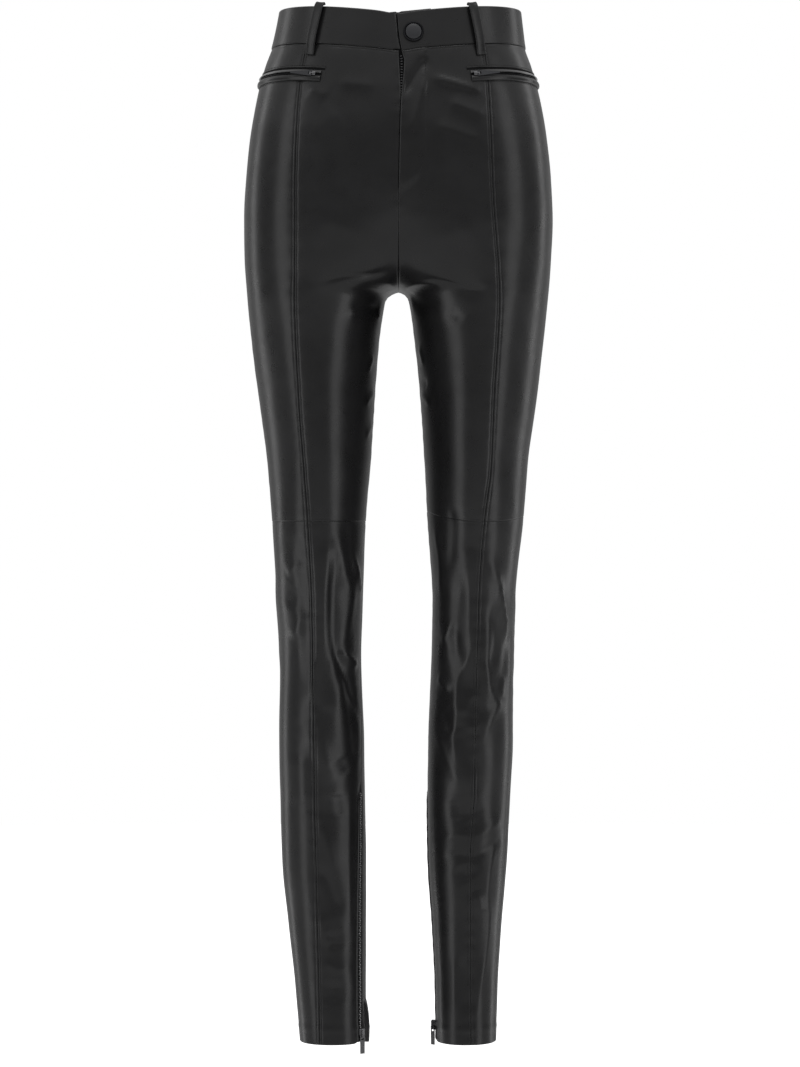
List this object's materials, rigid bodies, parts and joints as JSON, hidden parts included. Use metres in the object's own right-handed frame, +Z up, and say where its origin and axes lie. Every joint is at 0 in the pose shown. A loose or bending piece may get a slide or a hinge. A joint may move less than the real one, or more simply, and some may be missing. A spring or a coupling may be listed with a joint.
{
  "type": "leather leggings",
  "caption": "High-waisted skinny leather leggings with a buttoned waistband, belt loops, zipped welt pockets, long front seams, knee seams and zips at the ankles.",
  "frame": {"origin": "centre of the waist's opening, level with the top of the back waistband", "axes": "+Z up out of the waist, -Y to the wearer's front, +X to the wearer's left"},
  "size_m": [0.321, 0.238, 1.0863],
  "materials": {
    "leather": "smooth, soft sheen",
    "zip_tape": "woven, matt",
    "zip_metal": "dark, polished",
    "button": "leather over a metal shell"
  },
  "bodies": {
    "garment": {"ankle_left_tape": "zip_tape", "ankle_left_zip_slider": "zip_metal", "ankle_right_tape": "zip_tape", "ankle_right_zip_slider": "zip_metal", "back_left": "leather", "back_right": "leather", "calf_left": "leather", "calf_right": "leather", "fly_zip": "zip_tape", "front_centre_left": "leather", "front_centre_right": "leather", "front_side_left": "leather", "front_side_right": "leather", "loop_back_centre": "leather", "loop_back_left": "leather", "loop_back_right": "leather", "loop_front_left": "leather", "loop_front_right": "leather", "pocket_left_welt_lower": "leather", "pocket_left_welt_upper": "leather", "pocket_left_zip": "zip_tape", "pocket_left_zip_slider": "zip_metal", "pocket_right_welt_lower": "leather", "pocket_right_welt_upper": "leather", "pocket_right_zip": "zip_tape", "pocket_right_zip_slider": "zip_metal", "shin_inner_left": "leather", "shin_inner_right": "leather", "shin_outer_left": "leather", "shin_outer_right": "leather", "waist_button": "button", "waistband_back": "leather", "waistband_left": "leather", "waistband_right": "leather"},
    "pocket_right_pull": {"pocket_right_zip_pull": "leather"},
    "pocket_left_pull": {"pocket_left_zip_pull": "leather"},
    "ankle_right_pull": {"ankle_right_zip_pull": "zip_metal"},
    "ankle_left_pull": {"ankle_left_zip_pull": "zip_metal"}
  },
  "joints": [
    {"name": "pocket_right_pull_turn", "type": "hinge", "parent": "garment", "child": "pocket_right_pull", "pos_m": [-0.08856, -0.09798, -0.0781], "axis": [0.1318, 0.1585, 0.9785], "range_deg": [0, 140]},
    {"name": "pocket_left_pull_turn", "type": "hinge", "parent": "garment", "child": "pocket_left_pull", "pos_m": [0.0809, -0.1006, -0.07841], "axis": [0.1159, -0.1575, -0.9807], "range_deg": [0, 140]},
    {"name": "ankle_right_pull_turn", "type": "hinge", "parent": "garment", "child": "ankle_right_pull", "pos_m": [-0.0373, -0.0243, -1.06411], "axis": [-0.9093, -0.4161, -0.006], "range_deg": [0, 140]},
    {"name": "ankle_left_pull_turn", "type": "hinge", "parent": "garment", "child": "ankle_left_pull", "pos_m": [0.03551, -0.00165, -1.05764], "axis": [-0.7051, 0.709, -0.0079], "range_deg": [0, 140]}
  ]
}
